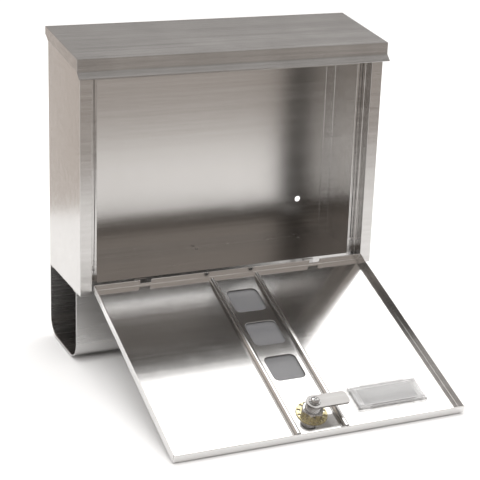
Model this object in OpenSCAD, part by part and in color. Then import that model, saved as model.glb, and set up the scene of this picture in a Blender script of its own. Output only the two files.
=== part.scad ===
// Wall mounted mailbox in folded stainless sheet: a fold-down door with a cam lock,
// view windows and a name plate, a rain lid over the letter slot, and an open-ended
// newspaper holder under the body.
//
// X runs along the width, Y points into the wall and Z is up. Everything is laid out with
// the wall plane at y = 0 and the body's bottom edge at z = 0, and is then lowered so that
// the origin sits at the centre of the four wall holes. The door and what it carries are
// drawn shut and swung open about the door hinge.

/* [Body] */
// Width over the side walls
body_w = 330; // [300:1:400]
// Depth from the wall to the front flanges
body_d = 103; // [90:1:130]
// Height of the side walls at the front
front_h = 240.6; // [200:0.1:300]
// Slope of the roof line, in degrees
roof_slope = 7.3; // [4:0.1:10]
// Thickness of the folded sheet
sheet = 1; // [0.8:0.1:1.2]

/* [Front frame] */
// Width of the front flanges beside the door
flange_w = 12.5; // [9:0.5:18]
// Depth of the step that the door closes into
step_d = 13.2; // [13:0.1:18]
// Width of the seat behind the door
seat_w = 9.5; // [7:0.5:14]
// Height of the floor's front lip
lip_h = 8; // [5:0.5:9]
// Header rail's lower edge below the roof's front edge
header_drop = 23.6; // [23.6:0.1:60]
// Height of the header rail
header_h = 20; // [14:1:20]
// Height of the corner tabs that join the floor to the seats
tab_h = 32; // [26:1:60]

/* [Wall holes] */
// Spacing of the wall holes across the width
hole_dx = 250; // [240:1:270]
// Spacing of the wall holes in height
hole_dz = 170; // [120:1:175]
// Height of the middle of the wall holes
hole_mid_z = 130; // [105:1:130]
// Diameter of the wall holes
hole_d = 6.5; // [4:0.1:9]

/* [Lid] */
// How far the lid's sides stand outside the body
lid_over_x = 3.5; // [2:0.1:6]
// How far the lid's front stands before the body
lid_over_y = 2.4; // [1.8:0.1:5]
// Height of the lid's turned-down edges
lid_edge_h = 12; // [9:0.5:14]
// Forward reach of the drip lip
drip_out = 6.3; // [3:0.1:8]
// Drop of the drip lip
drip_down = 6; // [3:0.1:7]
// Lid hinge axis: distance from the wall
lid_axis_y = 6.5; // [6.4:0.1:7]
// Lid hinge: half the distance between the two hinges
lid_hinge_x = 95; // [60:1:100]

/* [Door] */
// How far the shut door sits behind the front flanges
door_recess = 1; // [0.5:0.1:1.2]
// Shut door's upper edge below the roof's front edge
door_top_gap = 18.6; // [18.6:0.1:23]
// How far the shut door hangs below the body
door_drop = 16; // [12:0.1:16.2]
// Gap between the door and the front flanges
door_gap = 1.2; // [0.8:0.1:3]
// Height of the door's turned-in edges
door_edge_h = 8.4; // [6:0.1:9.4]
// Height of the door's hinge-side edge
door_hinge_edge_h = 7.8; // [6:0.1:8.1]
// Angle of the door when it hangs open
door_open = 110.3; // [80:0.1:112]
// Half the distance between the two stiffening ribs
rib_x = 25.3; // [22:0.1:30]
// Height of the ribs
rib_h = 5; // [3.5:0.1:7]
// Width of the ribs at their foot
rib_w = 5.8; // [5:0.1:7]
// Gap between the ribs and the door's upper edge
rib_end_gap = 4.5; // [2:0.5:15]
// Gap between the ribs and the door's lower edge
rib_foot_gap = 8; // [3:0.5:15]

/* [Windows] */
// Width and height of one view window
window_size = 34; // [24:1:36]
// Corner radius of the windows
window_r = 6; // [2:0.5:10]
// Distance from one window to the next
window_pitch = 50.5; // [44:0.5:52]
// Number of windows
window_n = 3; // [1:1:3]
// Middle of the lowest window above the door's lower edge
window_first = 42.5; // [34:0.5:45]
// Thickness of the clear pane
pane_t = 2; // [1:0.5:3]

/* [Lock] */
// Middle of the lock below the door's upper edge
lock_drop = 30; // [27:0.5:34]
// Reach of the cam from the lock's axis to its tip
cam_reach = 35; // [33:0.5:42]
// Width of the cam
cam_w = 16; // [12:0.5:17]
// Thickness of the cam
cam_t = 2; // [1.5:0.1:2.5]
// Diameter of the lock housing's thread
lock_d = 15; // [14.4:0.1:16.5]
// Diameter of the turning plug
plug_d = 12; // [10:0.1:12.4]
// Nut width across its flats
nut_af = 20; // [19:0.5:25]
// Nut thickness
nut_t = 6; // [3:0.5:8]
// Diameter of the toothed washer
washer_d = 31; // [28:0.5:32]

/* [Name plate] */
// Length of the name plate holder
plate_l = 75.5; // [60:0.5:80]
// Height of the name plate holder
plate_h = 30; // [22:1:34]
// Middle of the name plate to the right of the door's middle
plate_x = 86; // [76:1:96]
// Middle of the name plate below the door's upper edge
plate_drop = 38.5; // [30:0.5:60]

/* [Newspaper holder] */
// Depth of the holder below the body
holder_h = 76; // [50:1:110]
// Radius of the holder's bends
holder_r = 20; // [8:1:30]
// How far the holder's front stands behind the face of the floor's front lip
holder_setback = 0.3; // [0.2:0.1:6.8]

/* [Hidden] */
$fn = 64;

eps = 0.01;
far = 1000;

// Clearances
move_gap = 0.4;   // between sheets of different bodies
fit_gap = 0.1;    // between pieces that sit in one another
run_gap = 0.05;   // radial, round a pin or the plug

// Colours
steel = [0.74, 0.72, 0.70];
steel_dark = [0.60, 0.57, 0.55];
zinc = [0.80, 0.81, 0.83];
gold = [0.80, 0.68, 0.36];
clear = [0.90, 0.94, 0.96, 0.5];
black = [0.12, 0.12, 0.13];
card = [0.82, 0.82, 0.82];

// Body
half_w = body_w / 2;
front_y = -body_d;
seat_y = front_y + step_d;
step_x = half_w - flange_w;
seat_x = step_x - seat_w;
back_flange_w = 11;
header_low = front_h - header_drop;
function roof_z(y) = front_h + (y - front_y) * tan(roof_slope);

// Rivets
rivet_r = 1.2;
rivet_head_r = 2.2;
rivet_head_t = 0.5;
rivet_x = (step_x + seat_x) / 2;
floor_rivets_z = [9, 24];
header_rivets_z = [header_low + 5, header_low + header_h - 6];
header_fold = 10;

// Lid
lid_half_w = half_w + lid_over_x;
lid_front_y = front_y - lid_over_y;
lid_sheet_z = sheet / cos(roof_slope);
function lid_low(y) = roof_z(y) + move_gap;
function lid_top(y) = lid_low(y) + lid_sheet_z;
lid_rear_y = -2.2;
lid_fold_z = lid_top(lid_front_y) - lid_edge_h;
lid_hinge_y = -lid_axis_y;
hinge_pin_r = 1.2;
lid_knuckle_r = 2.4;
lid_hinge_z = lid_low(lid_hinge_y) - lid_knuckle_r - 0.46;
lid_hinge_w = 30;
lid_knuckle_w = 10;
back_top = lid_hinge_z - 4.5;
side_notch_z = back_top;
side_notch_y = lid_hinge_y - 1.5;

// Door, drawn shut
door_half_w = step_x - door_gap;
door_y = front_y + door_recess;
door_low = -door_drop;
door_top = front_h - door_top_gap;
door_in_y = door_y + sheet;
door_axis_y = front_y - 6.3;
door_axis_z = -6;
door_pin_r = 1.4;
door_knuckle_r = 2.6;
door_hinge_x = 96;
tab_w = 6;
tab_plate_w = 12;
tab_t = 1.2;
hinge_notch_w = 12;
hinge_notch_h = 4.5;
strap_w = 20;
strap_top = 12;
strap_knuckle_w = 4.2;
corner_slit = 0.6;

// Windows
function window_z(i) = door_low + window_first + i * window_pitch;
pane_margin = 5;
pane_half_w = rib_x - rib_w / 2 - 1;
seal_t = 1;
pane_low = window_z(0) - window_size / 2 - pane_margin;
pane_high = window_z(window_n - 1) + window_size / 2 + pane_margin;

// Lock, along its axis from the door's outer face inwards
lock_z = door_top - lock_drop;
lock_washer_t = 1;
lock_head_r = 11;
lock_head_t = 2.5;
housing_end = 14.2;
thread_pitch = 1;
thread_depth = 0.45;
cam_from = housing_end + 0.7;
cam_washer_t = 0.9;
screw_r = 2;
screw_head_r = 4.2;
screw_head_t = 2.6;
drive_w = 7;

// Name plate
plate_z = door_top - plate_drop;
plate_t = 3.6;
plate_wall = 2;
card_t = 0.5;
slide_t = 1.2;

// Newspaper holder
holder_y = seat_y + holder_setback;
holder_flange = 11;

// ---- Places ----

module place() {
    translate([0, 0, -hole_mid_z]) children();
}

module swing_open() {
    place()
        translate([0, door_axis_y, door_axis_z])
            rotate([door_open, 0, 0])
                translate([0, -door_axis_y, -door_axis_z])
                    children();
}

// Both mirrored copies of a piece that is drawn on the right
module both_sides() {
    for (s = [0, 1]) mirror([s, 0, 0]) children();
}

// Local z runs into the box along the lock's axis, from the door's outer face
module on_lock() {
    translate([0, door_y, lock_z]) rotate([-90, 0, 0]) children();
}

// A block between two corners
module block(a, b) {
    translate(a) cube(b - a);
}

// A y-z outline stretched from x1 to x2
module along_x(x1, x2) {
    translate([x1, 0, 0]) rotate([90, 0, 90]) linear_extrude(x2 - x1) children();
}

// ---- Body ----

module under_roof() {
    intersection() {
        children();
        along_x(-far, far)
            polygon([[-far, -far], [side_notch_y, -far], [far, -far], [far, side_notch_z],
                     [side_notch_y, side_notch_z], [side_notch_y, roof_z(side_notch_y)],
                     [-far, roof_z(-far)]]);
    }
}

// The right-hand side: wall, front flange, step and seat, and a flange for the back panel
module side_shell() {
    difference() {
        under_roof()
            linear_extrude(far)
                union() {
                    translate([half_w - sheet, front_y]) square([sheet, body_d]);
                    translate([step_x, front_y]) square([flange_w, sheet]);
                    translate([step_x, front_y]) square([sheet, step_d + sheet]);
                    translate([seat_x, seat_y]) square([seat_w + sheet, sheet]);
                    translate([half_w - sheet - back_flange_w, -2 * sheet])
                        square([back_flange_w + sheet, sheet]);
                }
        for (z = concat(floor_rivets_z, header_rivets_z))
            translate([rivet_x, seat_y - eps, z]) rotate([-90, 0, 0])
                cylinder(r = rivet_r + run_gap, h = sheet + 2 * eps);
    }
}

module side_left() {
    color(steel) place() mirror([1, 0, 0]) side_shell();
}

module side_right() {
    color(steel) place() side_shell();
}

module back_panel() {
    inner = half_w - sheet;
    color(steel_dark) place()
        difference() {
            block([-inner, -sheet, 0], [inner, 0, back_top]);
            for (x = [-1, 1], z = [-1, 1])
                translate([x * hole_dx / 2, -sheet - eps, hole_mid_z + z * hole_dz / 2])
                    rotate([-90, 0, 0]) cylinder(d = hole_d, h = sheet + 2 * eps);
        }
}

// A tray: base, front lip, side and rear flanges, and a tab behind each seat
module floor_panel() {
    inner = half_w - sheet;
    side_flange_h = 10;
    rear_x = inner - back_flange_w - 1;
    tab_y = seat_y + sheet;
    color(steel_dark) place()
        difference() {
            union() {
                block([-inner, tab_y, 0], [inner, -2 * sheet, sheet]);
                block([-rear_x, -2 * sheet - eps, 0], [rear_x, -sheet, side_flange_h]);
                block([-seat_x, seat_y, 0], [seat_x, tab_y + sheet, sheet]);
                block([-seat_x, seat_y, 0], [seat_x, tab_y, lip_h]);
                both_sides() {
                    block([inner - sheet, tab_y + sheet, 0], [inner, -2 * sheet, side_flange_h]);
                    block([seat_x + fit_gap, tab_y, 0], [step_x, tab_y + sheet, tab_h]);
                }
            }
            both_sides() {
                for (z = floor_rivets_z)
                    translate([rivet_x, tab_y - eps, z]) rotate([-90, 0, 0])
                        cylinder(r = rivet_r + run_gap, h = sheet + 2 * eps);
            }
            holder_rivet_places() cylinder(r = rivet_r + run_gap, h = sheet + 2 * eps);
        }
}

// The rail that the cam hooks behind, under the letter slot
module header_rail() {
    reach = step_x;
    back = seat_y + sheet;
    top = header_low + header_h;
    color(steel_dark) place()
        difference() {
            union() {
                block([-reach, back, header_low], [reach, back + sheet, top]);
                block([-reach, back, top - sheet], [reach, back + header_fold, top]);
            }
            both_sides() {
                for (z = header_rivets_z)
                    translate([rivet_x, back - eps, z]) rotate([-90, 0, 0])
                        cylinder(r = rivet_r + run_gap, h = sheet + 2 * eps);
            }
        }
}

// A rivet along +z through two sheets, with its domed head below z = 0
module rivet() {
    rotate_extrude()
        polygon([[0, -rivet_head_t], [rivet_head_r * 0.55, -rivet_head_t * 0.85],
                 [rivet_head_r, -rivet_head_t * 0.25], [rivet_head_r, 0], [rivet_r, 0],
                 [rivet_r, 2 * sheet], [rivet_head_r * 0.8, 2 * sheet],
                 [rivet_head_r * 0.7, 2 * sheet + rivet_head_t * 0.7],
                 [0, 2 * sheet + rivet_head_t * 0.7]]);
}

module frame_rivets() {
    color(zinc) place()
        both_sides() {
            for (z = concat(floor_rivets_z, header_rivets_z))
                translate([rivet_x, seat_y, z]) rotate([-90, 0, 0]) rivet();
        }
}

// ---- Newspaper holder ----

// Where the holder is riveted to the floor, at the floor's underside
module holder_rivet_places() {
    front = holder_y + holder_flange / 2 + 1;
    rear = -holder_flange / 2 - 2;
    for (x = [-1, 0, 1], y = [front, rear])
        translate([x * (half_w - 40), y, -eps]) children();
}

// Outline of the trough, inset by t
module trough(t) {
    r = holder_r - t;
    y1 = holder_y + holder_r;
    y2 = -holder_r;
    z = -holder_h + holder_r;
    translate([y1, z]) circle(r = r);
    translate([y2, z]) circle(r = r);
    translate([y1, z - r]) square([y2 - y1, r + eps]);
    translate([y1 - r, z]) square([y2 - y1 + 2 * r, -z - t]);
}

module newspaper_holder() {
    color(steel) place()
        difference() {
            along_x(-half_w, half_w)
                difference() {
                    trough(0);
                    trough(sheet);
                    translate([holder_y + holder_flange, -sheet - eps])
                        square([-holder_y - 2 * holder_flange, sheet + 2 * eps]);
                }
            translate([0, 0, -sheet])
                holder_rivet_places() cylinder(r = rivet_r + run_gap, h = sheet + 2 * eps);
        }
}

module holder_rivets() {
    color(zinc) place()
        translate([0, 0, -sheet + eps]) holder_rivet_places() rivet();
}

// ---- Lid ----

// Front edge and drip lip of the lid, as a y-z outline
module lid_outline() {
    y = lid_front_y;
    len = norm([drip_out, drip_down]);
    ny = sheet * drip_down / len;
    nz = sheet * drip_out / len;
    polygon([[lid_rear_y, lid_top(lid_rear_y)], [y, lid_top(y)], [y, lid_fold_z],
             [y - drip_out, lid_fold_z - drip_down],
             [y - drip_out + ny, lid_fold_z - drip_down - nz],
             [y + sheet, lid_fold_z - sheet * 0.4], [y + sheet, lid_low(y + sheet)],
             [lid_rear_y, lid_low(lid_rear_y)]]);
}

module lid_edge_outline() {
    y = lid_front_y;
    r = lid_rear_y;
    polygon([[r, lid_top(r)], [y, lid_top(y)], [y, lid_fold_z],
             [r - 9, lid_top(r - 9) - lid_edge_h], [r - 2, lid_top(r) - lid_edge_h + 3.5],
             [r, lid_top(r) - lid_edge_h + 3.5]]);
}

module lid() {
    color(steel_dark) place() {
        along_x(-lid_half_w, lid_half_w) lid_outline();
        along_x(-lid_half_w, -lid_half_w + sheet) lid_edge_outline();
        along_x(lid_half_w - sheet, lid_half_w) lid_edge_outline();
    }
}

// Both lid hinges: children are drawn about the hinge axis
module at_lid_hinges() {
    place()
        both_sides()
            translate([lid_hinge_x, lid_hinge_y, lid_hinge_z]) children();
}

module x_cylinder(r, x1, x2) {
    translate([x1, 0, 0]) rotate([0, 90, 0]) cylinder(r = r, h = x2 - x1);
}

// Straps on the back panel that carry the middle knuckles
module lid_hinge_brackets() {
    half = lid_knuckle_w / 2;
    wall = -sheet - lid_hinge_y;
    low = back_top - 24 - lid_hinge_z;
    bend = back_top - 5 - lid_hinge_z;
    color(steel) at_lid_hinges()
        difference() {
            union() {
                along_x(-half, half)
                    polygon([[wall, low], [wall, bend], [lid_knuckle_r, 0], [1, 0],
                             [wall - sheet, bend - 0.6], [wall - sheet, low]]);
                along_x(-lid_hinge_w / 2, lid_hinge_w / 2)
                    polygon([[wall, low], [wall, bend - 2], [wall - sheet, bend - 2],
                             [wall - sheet, low]]);
                x_cylinder(lid_knuckle_r, -half, half);
            }
            x_cylinder(hinge_pin_r + run_gap, -half - eps, half + eps);
        }
}

// Leaves under the lid that carry the outer knuckles
module lid_hinge_leaves() {
    half = lid_hinge_w / 2;
    mid = lid_knuckle_w / 2 + move_gap;
    reach = 22;
    lift = lid_low(lid_hinge_y) - lid_hinge_z;
    drop = reach * tan(roof_slope);
    front = 4;
    color(steel) at_lid_hinges()
        difference() {
            union() {
                along_x(-half, half)
                    polygon([[0, lift], [-reach, lift - drop], [-reach, lift - drop - sheet],
                             [0, lift - sheet]]);
                x_cylinder(lid_knuckle_r, -half, half);
            }
            block([-mid, -front, -far], [mid, far, lift + sheet]);
            x_cylinder(hinge_pin_r + run_gap, -half - eps, half + eps);
        }
}

module lid_hinge_pins() {
    half = lid_hinge_w / 2;
    head = 0.8;
    color(zinc) at_lid_hinges() {
        x_cylinder(hinge_pin_r, -half - 0.3, half + 0.3);
        x_cylinder(lid_knuckle_r - 0.3, -half - 0.3 - head, -half - 0.3);
        x_cylinder(lid_knuckle_r - 0.3, half + 0.3, half + 0.3 + head);
    }
}

// ---- Door hinges ----

// Children are drawn about the door's hinge axis, with the door shut
module at_door_hinges() {
    both_sides()
        translate([door_hinge_x, door_axis_y, door_axis_z]) children();
}

// Plates on the floor's front lip, each with a neck that passes under the shut door to a knuckle
module door_hinge_tabs() {
    back = seat_y - door_axis_y;
    low = door_low - move_gap - tab_t - door_axis_z;
    half = tab_w / 2;
    color(steel) place() at_door_hinges()
        difference() {
            union() {
                block([-tab_plate_w / 2, back - sheet, 1], [tab_plate_w / 2, back, lip_h - 1 - door_axis_z]);
                block([-half, back - sheet, low], [half, back, 1 + eps]);
                block([-half, -door_knuckle_r, low], [half, back - eps, low + tab_t]);
                block([-half, -door_knuckle_r, low], [half, tab_t - door_knuckle_r, 0]);
                x_cylinder(door_knuckle_r, -half, half);
            }
            x_cylinder(door_pin_r + run_gap, -half - eps, half + eps);
        }
}

module door_hinge_pins() {
    reach = tab_w / 2 + move_gap + strap_knuckle_w + 0.3;
    head = 1;
    color(zinc) place() at_door_hinges() {
        x_cylinder(door_pin_r, -reach, reach);
        x_cylinder(door_knuckle_r - 0.4, -reach - head, -reach);
        x_cylinder(door_knuckle_r - 0.4, reach, reach + head);
    }
}

// Straps on the door's outer face that carry the outer knuckles
module door_hinge_straps() {
    inner = tab_w / 2 + move_gap;
    outer = inner + strap_knuckle_w;
    face = door_y - door_axis_y;
    knee = door_knuckle_r - sheet;
    foot = door_low + 1 - door_axis_z;
    color(steel) swing_open() at_door_hinges() {
        block([-strap_w / 2, face - sheet, foot], [strap_w / 2, face, strap_top - door_axis_z]);
        both_sides()
            difference() {
                union() {
                    block([inner, 0, knee], [outer, face - sheet + eps, door_knuckle_r]);
                    x_cylinder(door_knuckle_r, inner, outer);
                }
                x_cylinder(door_pin_r + run_gap, inner - eps, outer + eps);
            }
    }
}

// ---- Door ----

// Profile of a folded rib in x-y, on the door's inner face
module rib_outline(inset) {
    r = rib_w / 2 - inset;
    top = rib_h + sheet - rib_w / 2;
    translate([0, top]) circle(r = r);
    translate([-r, 0]) square([2 * r, top]);
}

module rib_bars(inset, extra) {
    z1 = door_low + rib_foot_gap - extra;
    z2 = door_top - rib_end_gap + extra;
    both_sides()
        translate([rib_x, door_y, z1])
            linear_extrude(z2 - z1) rib_outline(inset);
}

module rounded_square(size, r) {
    s = size / 2 - r;
    square([size, 2 * s], center = true);
    square([2 * s, size], center = true);
    for (x = [-s, s], y = [-s, s]) translate([x, y]) circle(r = r);
}

// Cuts through the door from y1 to y2, one per window
module window_cuts(size, r, y1, y2) {
    for (i = [0 : window_n - 1])
        translate([0, y2, window_z(i)]) rotate([90, 0, 0])
            linear_extrude(y2 - y1) rounded_square(size, r);
}

module door_panel() {
    x = door_half_w;
    edge = door_y + door_edge_h;
    slit = sheet + corner_slit;
    boss_l = plate_l - 10;
    boss_h = plate_h - 10;
    color(steel) swing_open()
        difference() {
            union() {
                block([-x, door_y, door_low], [x, door_in_y, door_top]);
                block([-x, door_y, door_top - sheet], [x, edge, door_top]);
                block([-x, door_y, door_low], [x, door_y + door_hinge_edge_h, door_low + sheet]);
                both_sides()
                    block([x - sheet, door_y, door_low + slit], [x, edge, door_top - slit]);
                rib_bars(0, 0);
            }
            translate([0, -eps, 0]) rib_bars(sheet * 0.9, 1);
            window_cuts(window_size, window_r, door_y - eps, door_in_y + eps);
            on_lock() translate([0, 0, -eps])
                cylinder(d = lock_d + 2 * fit_gap, h = sheet + 2 * eps);
            block([plate_x - boss_l / 2, door_y - eps, plate_z - boss_h / 2],
                  [plate_x + boss_l / 2, door_in_y + eps, plate_z + boss_h / 2]);
            for (s = [-1, 1])
                block([s * door_hinge_x - hinge_notch_w / 2,
                       door_y + door_hinge_edge_h - hinge_notch_h, door_low - eps],
                      [s * door_hinge_x + hinge_notch_w / 2, door_y + far, door_low + sheet + eps]);
        }
}

module window_seal() {
    color(black) swing_open()
        difference() {
            block([-pane_half_w, door_y - seal_t, pane_low], [pane_half_w, door_y, pane_high]);
            window_cuts(window_size + 1, window_r + 0.5, door_y - seal_t - eps, door_y + eps);
        }
}

module window_pane() {
    color(clear) swing_open()
        block([-pane_half_w, door_y - seal_t - pane_t, pane_low],
              [pane_half_w, door_y - seal_t, pane_high]);
}

// ---- Name plate ----

// Clear holder, seen from inside the box, with a boss that fills the hole in the door
module name_plate_holder() {
    l = plate_l / 2;
    h = plate_h / 2;
    boss_l = plate_l / 2 - 5 - fit_gap;
    boss_h = plate_h / 2 - 5 - fit_gap;
    rail = 3;
    foot = 4;
    color(clear) swing_open() translate([plate_x, door_y, plate_z])
        difference() {
            union() {
                block([-boss_l, 0, -boss_h], [boss_l, sheet + eps, boss_h]);
                block([-l, sheet, -h], [l, sheet + plate_t, h]);
                for (x = [-1, 1], z = [-1, 1])
                    translate([x * (l - foot), sheet, z * (h - foot)]) rotate([-90, 0, 0])
                        cylinder(r = 2, h = plate_t + 0.8);
            }
            block([-l + plate_wall, sheet + 1, -h + rail], [l + eps, sheet + plate_t + eps, h - rail]);
            for (s = [-1, 1])
                block([-l + 14, sheet + 1, s * (h - rail / 2) - rail / 4],
                      [l - 14, sheet + plate_t + eps, s * (h - rail / 2) + rail / 4]);
        }
}

module name_card() {
    l = plate_l / 2 - plate_wall - 6;
    h = plate_h / 2 - 3 - 2;
    color(card) swing_open() translate([plate_x, door_y + sheet + 1, plate_z])
        block([-l, 0, -h], [l, card_t, h]);
}

// Slide that holds the card down, with a ribbed thumb pad at one end
module name_card_slide() {
    l = plate_l / 2 - plate_wall - fit_gap;
    h = plate_h / 2 - 3 - fit_gap;
    pad = 11;
    ridges = 5;
    color(clear) swing_open() translate([plate_x, door_y + sheet + 1 + card_t, plate_z]) {
        difference() {
            block([-l, 0, -h], [l, slide_t, h]);
            block([-l + pad + 2, slide_t - 0.5, -h + 2.5], [l - 5, slide_t + eps, h - 2.5]);
        }
        for (i = [0 : ridges - 1])
            block([-l + 1.5 + i * 2, slide_t - eps, -h + 4], [-l + 2.4 + i * 2, slide_t + 0.6, h - 4]);
    }
}

// ---- Lock ----

// Housing with a flat round head outside the door and a thread inside it
module lock_housing() {
    turns = floor((housing_end - sheet - 1) / thread_pitch);
    r = lock_d / 2;
    crest = [for (i = [0 : turns - 1], k = [0, 1])
             [r - k * thread_depth, housing_end - 1 - (i + 0.5 * k) * thread_pitch]];
    color(zinc) swing_open() on_lock()
        difference() {
            rotate_extrude()
                polygon(concat([[0, housing_end], [r - 0.8, housing_end], [r, housing_end - 0.8]],
                               crest,
                               [[r, sheet + 0.6], [r, 0], [lock_head_r, 0],
                                [lock_head_r, -lock_head_t + 0.8],
                                [lock_head_r - 0.8, -lock_head_t], [0, -lock_head_t]]));
            translate([0, 0, -far / 2]) cylinder(d = plug_d + 2 * run_gap, h = far);
        }
}

module lock_washer() {
    slots = 12;
    color(gold) swing_open() on_lock() translate([0, 0, sheet])
        difference() {
            cylinder(d = washer_d, h = lock_washer_t);
            translate([0, 0, -eps]) cylinder(d = lock_d + 2 * fit_gap, h = lock_washer_t + 2 * eps);
            for (i = [0 : slots - 1])
                rotate([0, 0, i * 360 / slots])
                    translate([washer_d / 2 - 4, -1.1, -eps]) cube([2.8, 2.2, lock_washer_t + 2 * eps]);
        }
}

module lock_nut() {
    from = sheet + lock_washer_t;
    corner = nut_af / cos(30) / 2;
    color(zinc) swing_open() on_lock() translate([0, 0, from])
        difference() {
            intersection() {
                cylinder(r = corner, h = nut_t, $fn = 6);
                rotate_extrude()
                    polygon([[0, 0], [corner, 0], [corner, nut_t - 1.2],
                             [nut_af / 2 - 0.3, nut_t], [0, nut_t]]);
            }
            translate([0, 0, -eps]) cylinder(d = lock_d + 2 * run_gap, h = nut_t + 2 * eps);
        }
}

// Turning plug: keyway outside, square drive and a screw hole inside
module lock_plug() {
    drive_end = cam_from + cam_t - 0.2;
    color(zinc) swing_open() on_lock()
        difference() {
            union() {
                translate([0, 0, -lock_head_t - 0.6])
                    cylinder(d = plug_d, h = housing_end + 0.4 + lock_head_t + 0.6);
                translate([-drive_w / 2, -drive_w / 2, housing_end]) cube([drive_w, drive_w, drive_end - housing_end]);
            }
            translate([-0.8, -3.8, -lock_head_t - 0.6 - eps]) cube([1.6, 7.6, 5]);
            translate([-1.6, -1, -lock_head_t - 0.6 - eps]) cube([3.2, 1.6, 5]);
            translate([0, 0, housing_end - 6]) cylinder(r = screw_r + run_gap, h = far);
        }
}

// Flat cam that hooks behind the header rail
module lock_cam() {
    corner = cam_w / 4;
    end = cam_reach - corner;
    hole = drive_w / 2 + fit_gap;
    color(zinc) swing_open() on_lock() translate([0, 0, cam_from])
        difference() {
            linear_extrude(cam_t)
                union() {
                    circle(r = cam_w / 2 + 0.5);
                    translate([0, -cam_w / 2]) square([end, cam_w]);
                    translate([end - eps, -cam_w / 2 + corner]) square([corner + eps, cam_w - 2 * corner]);
                    for (s = [-1, 1]) translate([end, s * (cam_w / 2 - corner)]) circle(r = corner);
                }
            translate([-hole, -hole, -eps]) cube([2 * hole, 2 * hole, cam_t + 2 * eps]);
        }
}

module cam_washer() {
    teeth = 10;
    r = 5.6;
    color(zinc) swing_open() on_lock() translate([0, 0, cam_from + cam_t])
        difference() {
            cylinder(r = r, h = cam_washer_t);
            translate([0, 0, -eps]) cylinder(r = screw_r + fit_gap, h = cam_washer_t + 2 * eps);
            for (i = [0 : teeth - 1])
                rotate([0, 0, i * 360 / teeth])
                    translate([r - 1, -0.4, -eps]) cube([2, 0.8, cam_washer_t + 2 * eps]);
        }
}

module cam_screw() {
    from = cam_from + cam_t + cam_washer_t;
    len = 8;
    color(zinc) swing_open() on_lock() translate([0, 0, from])
        difference() {
            union() {
                rotate_extrude()
                    polygon([[0, 0], [screw_head_r, 0], [screw_head_r, screw_head_t * 0.45],
                             [screw_head_r * 0.8, screw_head_t * 0.85],
                             [screw_head_r * 0.45, screw_head_t], [0, screw_head_t]]);
                translate([0, 0, -len]) cylinder(r = screw_r, h = len + eps);
            }
            for (a = [0, 90])
                rotate([0, 0, a + 20])
                    translate([-2.6, -0.55, screw_head_t - 1.3]) cube([5.2, 1.1, 2]);
        }
}

side_left();
side_right();
back_panel();
floor_panel();
header_rail();
frame_rivets();
newspaper_holder();
holder_rivets();
lid();
lid_hinge_brackets();
lid_hinge_leaves();
lid_hinge_pins();
door_hinge_tabs();
door_hinge_pins();
door_panel();
door_hinge_straps();
window_seal();
window_pane();
name_plate_holder();
name_card();
name_card_slide();
lock_housing();
lock_washer();
lock_nut();
lock_plug();
lock_cam();
cam_washer();
cam_screw();
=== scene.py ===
"""Looks for the wall mounted mailbox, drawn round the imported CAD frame.

Every CAD node keeps its place and mesh, and gets softened edges by modifiers and a procedural
material.
"""

import math

import bpy
from mathutils import Matrix, Vector


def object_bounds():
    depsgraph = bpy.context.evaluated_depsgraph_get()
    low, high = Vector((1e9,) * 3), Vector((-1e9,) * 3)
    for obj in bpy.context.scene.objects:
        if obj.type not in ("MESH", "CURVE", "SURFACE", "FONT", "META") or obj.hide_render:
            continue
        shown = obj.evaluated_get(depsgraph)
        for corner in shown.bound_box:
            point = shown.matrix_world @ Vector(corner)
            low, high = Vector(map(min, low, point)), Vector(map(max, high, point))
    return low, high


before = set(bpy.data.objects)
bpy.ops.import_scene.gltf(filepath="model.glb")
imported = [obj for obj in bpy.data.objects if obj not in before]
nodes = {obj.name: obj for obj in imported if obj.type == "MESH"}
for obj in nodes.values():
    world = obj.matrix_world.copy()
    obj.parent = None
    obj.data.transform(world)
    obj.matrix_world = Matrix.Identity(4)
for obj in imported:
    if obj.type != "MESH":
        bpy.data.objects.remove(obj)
cad_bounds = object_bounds()


# ---- Materials ----

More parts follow.
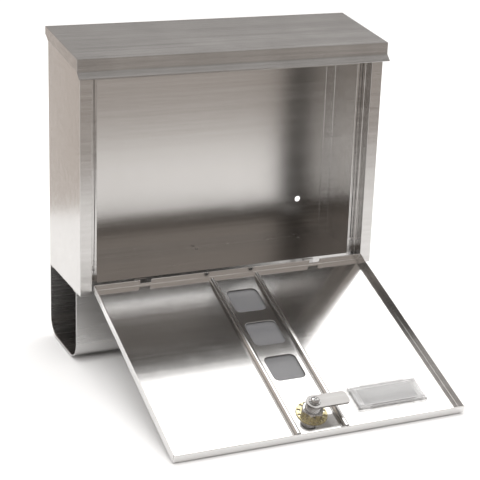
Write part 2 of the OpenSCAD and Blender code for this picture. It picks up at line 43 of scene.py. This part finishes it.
class Look:
    """A material with a principled surface, and short ways to add nodes to it."""

    def __init__(self, name, **surface):
        self.mat = bpy.data.materials.new(name)
        self.mat.use_nodes = True
        self.tree = self.mat.node_tree
        self.tree.nodes.clear()
        self.out = self.node("OutputMaterial")
        self.bsdf = self.node("BsdfPrincipled")
        self.link(self.bsdf.outputs["BSDF"], self.out.inputs["Surface"])
        for key, value in surface.items():
            self.bsdf.inputs[key.replace("_", " ")].default_value = value
        self.coords = self.node("TexCoord").outputs["Object"]

    def node(self, kind, **inputs):
        made = self.tree.nodes.new("ShaderNode" + kind)
        for key, value in inputs.items():
            made.inputs[key].default_value = value
        return made

    def link(self, a, b):
        self.tree.links.new(a, b)

    def noise(self, stretch, detail=3.0, rough=0.55):
        """Noise in metres: stretch is how many waves there are to a metre along X, Y and Z."""
        where = self.node("Mapping")
        where.inputs["Scale"].default_value = stretch
        self.link(self.coords, where.inputs["Vector"])
        made = self.node("TexNoise", Scale=1.0, Detail=detail, Roughness=rough)
        self.link(where.outputs["Vector"], made.inputs["Vector"])
        return made.outputs["Fac"]

    def spread(self, value, a, b, low, high):
        """value between a and b becomes low to high, and stays there outside."""
        made = self.node("MapRange")
        for key, number in zip(("From Min", "From Max", "To Min", "To Max"), (a, b, low, high)):
            made.inputs[key].default_value = number
        self.link(value, made.inputs["Value"])
        return made.outputs["Result"]

    def math(self, how, a, b):
        made = self.node("Math")
        made.operation = how
        for socket, value in zip(made.inputs, (a, b)):
            if isinstance(value, (int, float)):
                socket.default_value = value
            else:
                self.link(value, socket)
        return made.outputs["Value"]

    def mix(self, factor, a, b):
        made = self.node("Mix")
        made.data_type = "RGBA"
        self.link(factor, made.inputs["Factor"])
        for name, value in (("A", a), ("B", b)):
            socket = [s for s in made.inputs if s.name == name and s.type == "RGBA"][0]
            if isinstance(value, tuple):
                socket.default_value = value
            else:
                self.link(value, socket)
        return [s for s in made.outputs if s.type == "RGBA"][0]

    def bump(self, height, distance, strength, under=None):
        made = self.node("Bump", Distance=distance, Strength=strength)
        self.link(height, made.inputs["Height"])
        if under is not None:
            self.link(under, made.inputs["Normal"])
        return made.outputs["Normal"]

    def use(self, name, value):
        self.link(value, self.bsdf.inputs[name])


def grey(v, warm=0.0):
    """An opaque grey, a little redder for a higher warm."""
    return (v * (1 + warm), v, v * (1 - warm), 1.0)


def along(axis, fine, coarse):
    """Waves to a metre for streaks that run along one axis."""
    return tuple(coarse if i == axis else fine for i in range(3))


def steel(name, dark, light, rough, axis, warm=0.02, cloud=0.5, wave=0.0, scuff=0.5,
          across=0.08, sheen=0.5, under=0.0):
    """Brushed sheet: streaks along one axis, faint clouding, handling scuffs and a slight wave.
    A tone for under is painted shade on the faces that look down: their colour goes towards that
    grey, and they are made a little duller."""
    look = Look(name, Metallic=1.0, Anisotropic=sheen)
    fine = look.noise(along(axis, 2600.0, 26.0), 4.0, 0.7)
    band = look.noise(along(axis, 260.0, 3.0), 3.0, 0.6)
    clouds = look.noise((17.0, 17.0, 17.0), 5.0, 0.6)
    smear = look.noise((60.0, 60.0, 60.0), 4.0, 0.65)
    streak = look.math("ADD", look.math("MULTIPLY", fine, 0.5), look.math("MULTIPLY", band, 0.5))
    tone = look.math("ADD", look.math("MULTIPLY", streak, 1 - cloud * 0.5),
                     look.math("MULTIPLY", clouds, cloud * 0.5))
    colour = look.mix(look.spread(tone, 0.36, 0.64, 0.0, 1.0),
                      grey(dark, warm), grey(light, warm * 0.6))
    dull = 0.0
    if under:
        facing = look.node("SeparateXYZ")
        look.link(look.node("TexCoord").outputs["Normal"], facing.inputs["Vector"])
        down_facing_shade_mask = look.spread(facing.outputs["Z"], -0.7, -0.9, 0.0, 1.0)
        # painted shade: faces that look down are coloured towards the under tone
        colour = look.mix(down_facing_shade_mask, colour, grey(under, 0.04))
        dull = look.math("MULTIPLY", down_facing_shade_mask, 0.14)
    look.use("Base Color", colour)
    grain = look.spread(streak, 0.3, 0.7, -0.03, 0.03)
    worn = look.spread(smear, 0.5, 0.75, 0.0, 0.06 * scuff)
    rub = look.math("ADD", look.math("ADD", grain, worn), dull)
    look.use("Roughness", look.math("ADD", rub, rough))
    lean = look.noise((40.0, 40.0, 40.0), 2.0, 0.5)
    brush = look.node("CombineXYZ", X=1.0)
    look.link(look.spread(lean, 0.0, 1.0, across - 0.02, across + 0.02), brush.inputs["Y"])
    look.link(brush.outputs["Vector"], look.bsdf.inputs["Tangent"])
    normal = look.bump(fine, 0.00002, 0.35)
    if wave:
        slow = look.noise((9.0, 9.0, 9.0), 2.0, 0.5)
        normal = look.bump(slow, wave, 1.0, normal)
    look.use("Normal", normal)
    return look.mat


def plated(name, colour, rough):
    """Plated fittings: small pits, rubbed spots and a faint grain."""
    look = Look(name, Metallic=1.0)
    pits = look.noise((900.0, 900.0, 900.0), 4.0, 0.6)
    rub = look.noise((220.0, 220.0, 220.0), 3.0, 0.6)
    dull = tuple(c * 0.72 for c in colour[:3]) + (1.0,)
    look.use("Base Color", look.mix(look.spread(rub, 0.4, 0.62, 0.0, 1.0), dull, colour))
    look.use("Roughness", look.spread(pits, 0.35, 0.68, rough, rough + 0.12))
    look.use("Normal", look.bump(pits, 0.00004, 0.3))
    return look.mat


def clear(name, colour, rough, solid, haze):
    """Clear plastic with fine scratches and dust as grey as haze. solid is how much of it shows."""
    look = Look(name, IOR=1.49, Alpha=solid)
    dust = look.noise((400.0, 400.0, 400.0), 4.0, 0.6)
    scratch = look.noise((60.0, 1800.0, 1800.0), 3.0, 0.7)
    look.use("Base Color", look.mix(look.spread(dust, 0.4, 0.7, 0.0, 1.0), colour, grey(haze)))
    look.use("Roughness", look.spread(scratch, 0.4, 0.75, rough, rough + 0.12))
    look.use("Normal", look.bump(scratch, 0.00002, 0.15))
    return look.mat


def matte(name, dark, light, rough, grain, height):
    """Foam, card and other dull stuff with a fibre grain."""
    look = Look(name)
    fibre = look.noise((grain, grain * 0.6, grain), 5.0, 0.65)
    look.use("Base Color", look.mix(look.spread(fibre, 0.35, 0.65, 0.0, 1.0), dark, light))
    look.use("Roughness", look.spread(fibre, 0.3, 0.7, rough - 0.08, rough + 0.06))
    look.use("Normal", look.bump(fibre, height, 0.5))
    return look.mat


X = 0  # the axis that the sheets are brushed along

LOOKS = {
    "side": steel("steel_side", 0.50, 0.64, 0.24, X, 0.025, 0.4, 0.0003, 0.15, across=1.0),
    "inner": steel("steel_inner", 0.56, 0.62, 0.24, X, 0.03, 0.3, 0.0, 0.2),
    "floor": steel("steel_floor", 0.52, 0.60, 0.24, X, 0.02, 0.4, 0.0, 0.4),
    "holder": steel("steel_holder", 0.58, 0.64, 0.26, X, 0.015, 0.3, 0.0003, 0.2),
    # under=0.42 paints shade on the lid's down-facing faces
    "lid": steel("steel_lid", 0.40, 0.58, 0.24, X, 0.010, 0.6, 0.0002, 0.15, sheen=0.3, under=0.42),
    # The door's tone is the steel's own colour lifted by painted highlight, lighter than the other
    # sheets of the same steel
    "door": steel("steel_door", 0.70, 0.78, 0.14, X, 0.012, 0.3, 0.0001, 0.6),
    "hinge": steel("steel_hinge", 0.42, 0.54, 0.30, X, 0.02, 0.6),
    "rivet": plated("plated_rivet", grey(0.60), 0.24),
    "chrome": plated("plated_lock", grey(0.72), 0.12),
    "cam": steel("steel_cam", 0.30, 0.38, 0.30, X, 0.03, 0.8),
    "gold": plated("plated_washer", (0.90, 0.81, 0.50, 1.0), 0.22),
    "seal": matte("foam_seal", grey(0.012), grey(0.03), 0.9, 900.0, 0.0002),
    "pane": clear("plastic_pane", (0.235, 0.235, 0.25, 1.0), 0.03, 0.55, 0.26),
    "plate": clear("plastic_plate", grey(0.80), 0.05, 0.3, 0.70),
    "card": matte("card_blank", grey(0.42), grey(0.50), 0.8, 1600.0, 0.00008),
}

DRESS = {
    "side_left": "side", "side_right": "side", "back_panel": "inner", "floor_panel": "floor",
    "header_rail": "floor", "frame_rivets": "rivet", "newspaper_holder": "holder",
    "holder_rivets": "rivet", "lid": "lid", "lid_hinge_brackets": "hinge",
    "lid_hinge_leaves": "hinge", "lid_hinge_pins": "rivet", "door_hinge_tabs": "hinge",
    "door_hinge_pins": "rivet", "door_panel": "door", "door_hinge_straps": "hinge",
    "window_seal": "seal", "window_pane": "pane", "name_plate_holder": "plate",
    "name_card": "card", "name_card_slide": "plate", "lock_housing": "chrome",
    "lock_washer": "gold", "lock_nut": "chrome", "lock_plug": "chrome", "lock_cam": "cam",
    "cam_washer": "rivet", "cam_screw": "chrome",
}

# Widths of the softened edges, in metres, where they are finer than the usual one
EDGE = 0.00045
EDGES = {"lock_cam": 0.0003, "lock_nut": 0.0003, "name_plate_holder": 0.0003,
         "window_pane": 0.0002, "name_card_slide": 0.00015, "name_card": 0.0001}

# Pieces whose flat faces would show lines between their holes if left as triangles
FLAT = {"back_panel"}


def soften(obj, width, flatten):
    """Joins the corners the import split, rounds the edges and evens the shading.
    If asked, it also joins the triangles of each flat face first."""
    join = obj.modifiers.new("join", "WELD")
    join.merge_threshold = 0.000002
    if flatten:
        flat = obj.modifiers.new("flat", "DECIMATE")
        flat.decimate_type = "DISSOLVE"
        flat.angle_limit = math.radians(0.2)
    edge = obj.modifiers.new("edge", "BEVEL")
    edge.width = width
    edge.segments = 3
    edge.limit_method = "ANGLE"
    edge.angle_limit = math.radians(28)
    edge.harden_normals = True
    even = obj.modifiers.new("even", "WEIGHTED_NORMAL")
    even.mode = "FACE_AREA"
    even.weight = 50
    even.keep_sharp = True


for name, obj in nodes.items():
    obj.data.materials.clear()
    obj.data.materials.append(LOOKS[DRESS[name]])
    soften(obj, EDGES.get(name, EDGE), name in FLAT)


# ---- Stage ----

def plane(name, x, y, centre, turn=(0.0, 0.0, 0.0)):
    mesh = bpy.data.meshes.new(name)
    mesh.from_pydata([(-x / 2, -y / 2, 0), (x / 2, -y / 2, 0), (x / 2, y / 2, 0), (-x / 2, y / 2, 0)],
                     [], [(0, 1, 2, 3)])
    obj = bpy.data.objects.new(name, mesh)
    bpy.context.scene.collection.objects.link(obj)
    obj.location = centre
    obj.rotation_euler = turn
    return obj


def plain(name, tone):
    return Look(name, Base_Color=tone, Roughness=0.9).mat


def softbox(name, size_x, size_y, power, place, aim):
    light = bpy.data.lights.new(name, "AREA")
    light.shape = "RECTANGLE"
    light.size = size_x
    light.size_y = size_y
    light.energy = power
    obj = bpy.data.objects.new(name, light)
    bpy.context.scene.collection.objects.link(obj)
    obj.location = place
    obj.rotation_mode = "QUATERNION"
    obj.rotation_quaternion = (Vector(aim) - Vector(place)).to_track_quat("-Z", "Y")


def flag(name, x, y, centre, turn, tone):
    """A studio card that only mirror-like surfaces see, to give the sheet its darker reflections."""
    card = plane(name, x, y, centre, turn)
    look = Look(name)
    look.bsdf.inputs["Base Color"].default_value = (0.0, 0.0, 0.0, 1.0)
    look.bsdf.inputs["Specular IOR Level"].default_value = 0.0
    look.bsdf.inputs["Emission Color"].default_value = tone
    look.bsdf.inputs["Emission Strength"].default_value = 1.0
    card.data.materials.append(look.mat)
    card.visible_camera = card.visible_diffuse = card.visible_shadow = False


low = cad_bounds[0].z
upright_turn = (math.radians(90), 0.0, 0.0)
floor = plane("floor", 40.0, 40.0, (0.0, 2.0, low - 0.001))
floor.data.materials.append(plain("floor_paper", grey(0.90)))
flag("flag_front", 3.6, 1.8, (0.9, -0.70, low + 0.90), upright_turn, (0.45, 0.405, 0.37, 1.0))
flag("flag_back_left", 1.6, 1.2, (-1.05, 0.40, low + 0.60), upright_turn, (0.66, 0.58, 0.52, 1.0))

softbox("softbox_top", 1.5, 0.84, 7.6, (0.45, 0.33, 0.85), (0.45, 0.33, 0.0))
sun = bpy.data.lights.new("fill", "SUN")
sun.energy = 2.5
sun.angle = math.radians(70)
fill = bpy.data.objects.new("fill", sun)
bpy.context.scene.collection.objects.link(fill)
fill.rotation_euler = (math.radians(16), math.radians(-14), 0.0)
fill.visible_glossy = False

world = bpy.data.worlds.new("room")
world.use_nodes = True
backdrop = world.node_tree.nodes["Background"].inputs
backdrop["Color"].default_value = (0.45, 0.425, 0.405, 1.0)
backdrop["Strength"].default_value = 1.0
bpy.context.scene.world = world
bpy.context.scene.view_settings.view_transform = "Standard"

# ---- Camera ----

# Downward pitch, turn to the right and roll, in radians
PITCH, YAW, ROLL = 0.3302, 0.4299, 0.0359
PLACE = (-0.5814, -1.3899, 0.3969)
ahead = Vector((math.sin(YAW) * math.cos(PITCH), math.cos(YAW) * math.cos(PITCH), -math.sin(PITCH)))
level = Vector((math.cos(YAW), -math.sin(YAW), 0.0))
upright = level.cross(ahead)
right = level * math.cos(ROLL) + upright * math.sin(ROLL)
up = upright * math.cos(ROLL) - level * math.sin(ROLL)
data = bpy.data.cameras.new("camera")
data.sensor_width = 36.0
data.lens = 107.99
data.clip_start = 0.05
data.clip_end = 50.0
camera = bpy.data.objects.new("camera", data)
bpy.context.scene.collection.objects.link(camera)
camera.matrix_world = Matrix.Translation(PLACE) @ Matrix(
    (right, up, -ahead)).transposed().to_4x4()
bpy.context.scene.camera = camera
